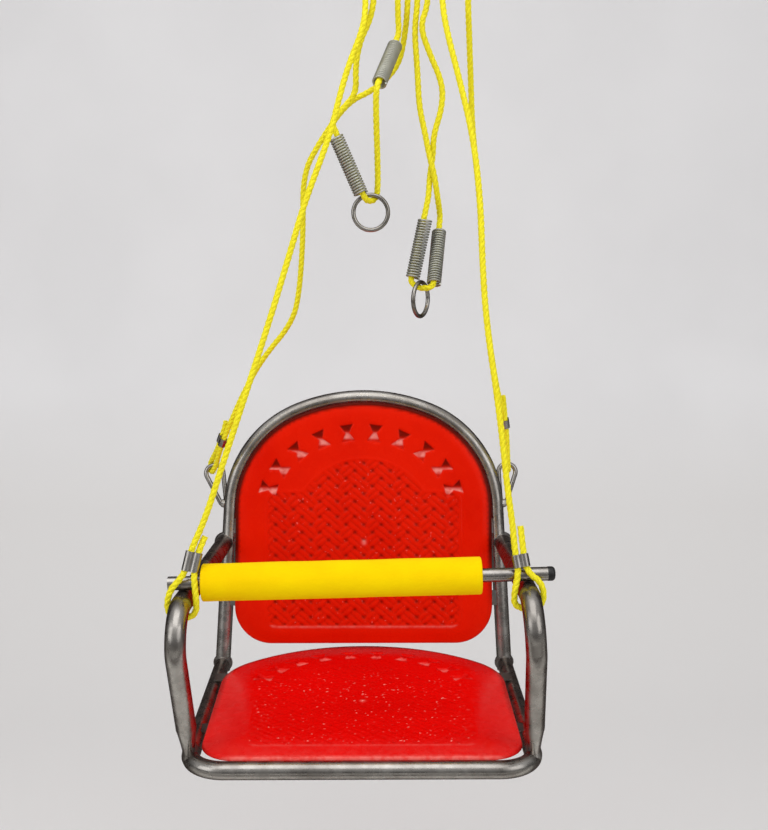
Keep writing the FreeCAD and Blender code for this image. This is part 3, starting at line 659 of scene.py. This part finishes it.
rightRing = [
    (0.051, 0.015, 0), (0.051, 0.015, -0.02), (0.048, 0.015, -0.0435), (0.051, 0.012, -0.08),
    (0.0525, 0.008, -0.113), (0.0585, 0.005, -0.1395), (0.062, 0.002, -0.158), (0.067, 0.002, -0.1765),
    (0.07, 0.005, -0.195), (0.074, 0.0215, -0.214), (0.066, -0.013, -0.2795), (0.0585, -0.008, -0.2815),
    (0.0505, -0.004, -0.2805), (0.045, -0.0015, -0.275), (0.06, 0.0025, -0.2045),
    (0.062, 0.005, -0.195), (0.063, 0.008, -0.1765), (0.066, 0.008, -0.158), (0.066, 0.005, -0.1395),
    (0.074, 0.008, -0.115), (0.0745, 0.009, -0.0925), (0.0615, 0.0105, -0.064), (0.053, 0.009, -0.041),
    (0.061, 0.015, -0.02), (0.061, 0.015, 0),
]
routes = {
    "rope_left_front": leftFront, "rope_left_rear": leftRear, "rope_right_front": rightFront,
    "rope_right_rear": rightRear, "rope_left_ring": leftRing, "rope_right_ring": rightRing,
}


# The legs that carry a spring run straight between these shares of their length
springLegs = {
    "rope_left_ring": {2: (0.15, 0.8), 9: (0.1, 0.85)},
    "rope_right_ring": {9: (0.15, 0.86), 13: (0.1, 0.85)},
}


def straightened(node, route):
    points = []
    for i, point in enumerate(route):
        points.append(point)
        for share in springLegs.get(node, {}).get(i, ()):
            points.append(tuple(Vector(point).lerp(Vector(route[i + 1]), share)))
    return points


# The route as one smooth curve, read back as points
def smoothLine(points):
    curve = bpy.data.curves.new("route", "CURVE")
    curve.dimensions = "3D"
    spline = curve.splines.new("NURBS")
    spline.points.add(len(points) - 1)
    for control, point in zip(spline.points, points):
        control.co = (*point, 1.0)
    spline.order_u = 3
    spline.use_endpoint_u = True
    spline.resolution_u = 16
    holder = bpy.data.objects.new("route", curve)
    scene.collection.objects.link(holder)
    bpy.context.view_layer.update()
    mesh = bpy.data.meshes.new_from_object(holder)
    line = [v.co.copy() for v in mesh.vertices]
    bpy.data.objects.remove(holder)
    bpy.data.meshes.remove(mesh)
    return line


def evenly(line, step):
    places = [0.0]
    for here, after in zip(line, line[1:]):
        places.append(places[-1] + (after - here).length)
    count = max(2, round(places[-1] / step))
    found, at = [], 0
    for i in range(count + 1):
        want = places[-1] * i / count
        while at < len(places) - 2 and places[at + 1] < want:
            at += 1
        share = (want - places[at]) / max(places[at + 1] - places[at], 1e-9)
        found.append(line[at].lerp(line[at + 1], min(share, 1.0)))
    return found, places[-1]


# Twisted strands round a line, added to points and faces
def strandMesh(line, points, faces):
    strandSize = rope["strand"] / 2
    ahead = (line[1] - line[0]).normalized()
    side = ahead.orthogonal().normalized()
    rings = []
    for i, here in enumerate(line):
        after = line[min(i + 1, len(line) - 1)]
        before = line[max(i - 1, 0)]
        now = (after - before).normalized()
        side = (side - now * side.dot(now)).normalized()
        up = now.cross(side)
        rings.append((here, side.copy(), up, now))
    step = (line[1] - line[0]).length
    for strand in range(rope["strands"]):
        first = len(points)
        for i, (here, side, up, now) in enumerate(rings):
            turn = 2 * math.pi * (strand / rope["strands"] + i * step / rope["lay"])
            outward = side * math.cos(turn) + up * math.sin(turn)
            across = now.cross(outward)
            middle = here + outward * (rope["size"] / 2 - strandSize)
            for s in range(rope["sides"]):
                a = 2 * math.pi * s / rope["sides"]
                wide = across * math.sin(a) * rope["plump"]
                points.append(middle + (outward * math.cos(a) + wide) * strandSize)
        sides = rope["sides"]
        for i in range(len(rings) - 1):
            for s in range(sides):
                t = (s + 1) % sides
                a, b = first + i * sides, first + (i + 1) * sides
                faces.append((a + s, a + t, b + t, b + s))
        faces.append(tuple(first + s for s in reversed(range(sides))))
        last = first + (len(rings) - 1) * sides
        faces.append(tuple(last + s for s in range(sides)))


def makeRope(node, route):
    line, length = evenly(smoothLine(straightened(node, route)), rope["step"])
    points, faces = [], []
    strandMesh(line, points, faces)
    name = "twisted_" + node
    piece = addPiece(name, points, faces, ropeFibre, "seat", 60.0)
    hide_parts(node)
    print(name, "length", round(length, 4))


for node, route in routes.items():
    makeRope(node, route)


rail = {"size": 0.024}


def bightLine(front, rear):
    radius = rail["size"] / 2 + rope["size"] / 2
    reach = radius * math.tan(math.pi / 8)
    third = (rear[0] - front[0]) / 3
    return [front, (front[0], front[1], reach), (front[0] + third, -reach, radius),
            (rear[0] - third, reach, radius), (rear[0], rear[1], reach), rear]


def makeBights():
    pairs = [(leftFront[0], leftRing[0]), (leftRing[-1], leftRear[0]),
             (rightFront[0], rightRing[0]), (rightRear[0], rightRing[-1])]
    halves = {"bightsFront": [], "bightsRear": []}
    for front, rear in pairs:
        line, _ = evenly(smoothLine(bightLine(front, rear)), rope["step"])
        split = min(range(len(line)), key=lambda i: abs(line[i].y))
        halves["bightsFront"].append(line[:split + 1])
        halves["bightsRear"].append(line[split:])
    for name, lines in halves.items():
        points, faces = [], []
        for line in lines:
            strandMesh(line, points, faces)
        piece = addPiece(name, points, faces, ropeFibre, None, 60.0)
        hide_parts("bights_left", "bights_right")
        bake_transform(piece)


makeBights()
print("bights made")


# Room, light and camera
room = {"floorZ": -1.15, "wallY": 1.9, "wide": 7.0, "sweep": 0.9, "high": 4.0, "litFloor": 3.2,
        "lowFade": (0.3, 0.6), "wallFade": (0.05, 0.5)}

# How pale the floor looks in polished steel, from far in front to right below the swing
floorSeen = {0.2: 0.0, 0.45: 0.6, 0.66: 0.6, 0.74: 0.1, 0.8: 0.1, 0.87: 0.75, 0.95: 0.75, 1.0: 0.1}


# Polished steel is shown a darker, banded room here, not the pale one that the camera sees
def seenByMirrors(tree):
    return tree.nodes.new("ShaderNodeLightPath").outputs["Is Glossy Ray"]


def spread(tree, value, start, end):
    span = tree.nodes.new("ShaderNodeMapRange")
    span.inputs["From Min"].default_value = start
    span.inputs["From Max"].default_value = end
    tree.links.new(value, span.inputs["Value"])
    return span.outputs["Result"]


def addStops(tree, value, stops):
    ramp = tree.nodes.new("ShaderNodeValToRGB")
    elements = ramp.color_ramp.elements
    for number, (position, level) in enumerate(stops.items()):
        stop = elements[number] if number < 2 else elements.new(position)
        stop.position = position
        stop.color = grey(level)
    tree.links.new(value, ramp.inputs["Fac"])
    return ramp.outputs["Color"]


def makeRoom():
    steps = 12
    profile = [(-room["wide"], room["floorZ"])]
    for i in range(steps + 1):
        angle = math.pi / 2 * i / steps
        profile.append((room["wallY"] - room["sweep"] + room["sweep"] * math.sin(angle),
                        room["floorZ"] + room["sweep"] * (1 - math.cos(angle))))
    profile.append((room["wallY"], room["floorZ"] + room["high"]))
    points = [(x, y, z) for y, z in profile for x in (-room["wide"], room["wide"])]
    faces = [(i, i + 1, i + 3, i + 2) for i in range(0, len(points) - 2, 2)]
    mesh = bpy.data.meshes.new("paleRoom")
    mesh.from_pydata(points, [], faces)
    mesh.polygons.foreach_set("use_smooth", [True] * len(mesh.polygons))
    material, tree, shader, place = startMaterial("palePaint", Roughness=0.9)
    split = tree.nodes.new("ShaderNodeSeparateXYZ")
    tree.links.new(place, split.inputs["Vector"])
    height = spread(tree, split.outputs["Z"], room["floorZ"], room["floorZ"] + room["sweep"])
    depth = spread(tree, split.outputs["Y"], -room["litFloor"], 0.0)
    tint = addNoise(tree, place, 3.0, 2.0)
    pale = addRamp(tree, tint, colour("roomShade"), colour("room"))
    pale = mixed(tree, addRamp(tree, height, grey(0.0), grey(1.0), *room["lowFade"]), colour("roomLow"), pale)
    dark, bright = colour("wallMirrored"), colour("floorMirrored")
    front = mixed(tree, addStops(tree, depth, floorSeen), dark, bright)
    mirrored = mixed(tree, addRamp(tree, height, grey(0.0), grey(1.0), *room["wallFade"]), front, dark)
    tree.links.new(mixed(tree, seenByMirrors(tree), pale, mirrored), shader.inputs["Base Color"])
    mesh.materials.append(material)
    backdrop = bpy.data.objects.new("paleRoom", mesh)
    scene.collection.objects.link(backdrop)


makeRoom()

lamps = {
    "ceiling": {"place": (-0.12, -0.75, 1.2), "aim": (0, 0, -0.5), "size": 1.8, "power": 16.0},
    "window": {"place": (-1.5, -1.1, 0.1), "aim": (0, 0, -0.5), "size": 1.2, "power": 6.0},
    "fill": {"place": (1.3, -1.3, 0.2), "aim": (0, 0, -0.5), "size": 1.2, "power": 6.0},
}
for name, lamp in lamps.items():
    light = bpy.data.lights.new(name, "AREA")
    light.size = lamp["size"]
    light.energy = lamp["power"]
    holder = bpy.data.objects.new(name, light)
    holder.location = lamp["place"]
    facing = Vector(lamp["aim"]) - Vector(lamp["place"])
    holder.rotation_euler = facing.to_track_quat("-Z", "Y").to_euler()
    scene.collection.objects.link(holder)

# What polished steel sees of the room around, by height and from side to side
sky = {
    "heights": {0.0: 0.25, 0.32: 0.36, 0.43: 0.2, 0.53: 0.24, 0.64: 0.44, 0.8: 0.64},
    "sides": {0.0: 0.4, 0.2: 0.9, 0.32: 1.0, 0.42: 0.72, 0.5: 0.85, 0.62: 0.8, 0.74: 1.0, 1.0: 0.5},
    "level": 0.62,
}


def makeWorld():
    world = bpy.data.worlds.new("softRoom")
    scene.world = world
    world.use_nodes = True
    tree = world.node_tree
    background = tree.nodes["Background"]
    direction = tree.nodes.new("ShaderNodeTexCoord")
    split = tree.nodes.new("ShaderNodeSeparateXYZ")
    tree.links.new(direction.outputs["Generated"], split.inputs["Vector"])
    heights = addStops(tree, spread(tree, split.outputs["Z"], -1.0, 1.0), sky["heights"])
    sides = addStops(tree, spread(tree, split.outputs["X"], -1.0, 1.0), sky["sides"])
    seen = mixed(tree, seenByMirrors(tree), grey(sky["level"]), product(tree, heights, sides))
    tree.links.new(seen, background.inputs["Color"])
    background.inputs["Strength"].default_value = 1.0


makeWorld()

view = {"place": (0.00707, -1.1192, -0.2333), "yaw": 0.676, "down": 8.623, "roll": 0.099, "focal": 1177.0,
        "pixels": 768, "sensor": 36.0}
camera = bpy.data.cameras.new("photoCamera")
camera.sensor_fit = "HORIZONTAL"
camera.sensor_width = view["sensor"]
camera.lens = camera.sensor_width * view["focal"] / view["pixels"]
eye = bpy.data.objects.new("photoCamera", camera)
eye.matrix_world = (Matrix.Translation(view["place"])
                    @ Matrix.Rotation(-math.radians(view["yaw"]), 4, "Z")
                    @ Matrix.Rotation(math.radians(90 - view["down"]), 4, "X")
                    @ Matrix.Rotation(math.radians(view["roll"]), 4, "Z"))
scene.collection.objects.link(eye)
scene.camera = eye
scene.view_settings.view_transform = "Standard"
print("room, lights and camera set")
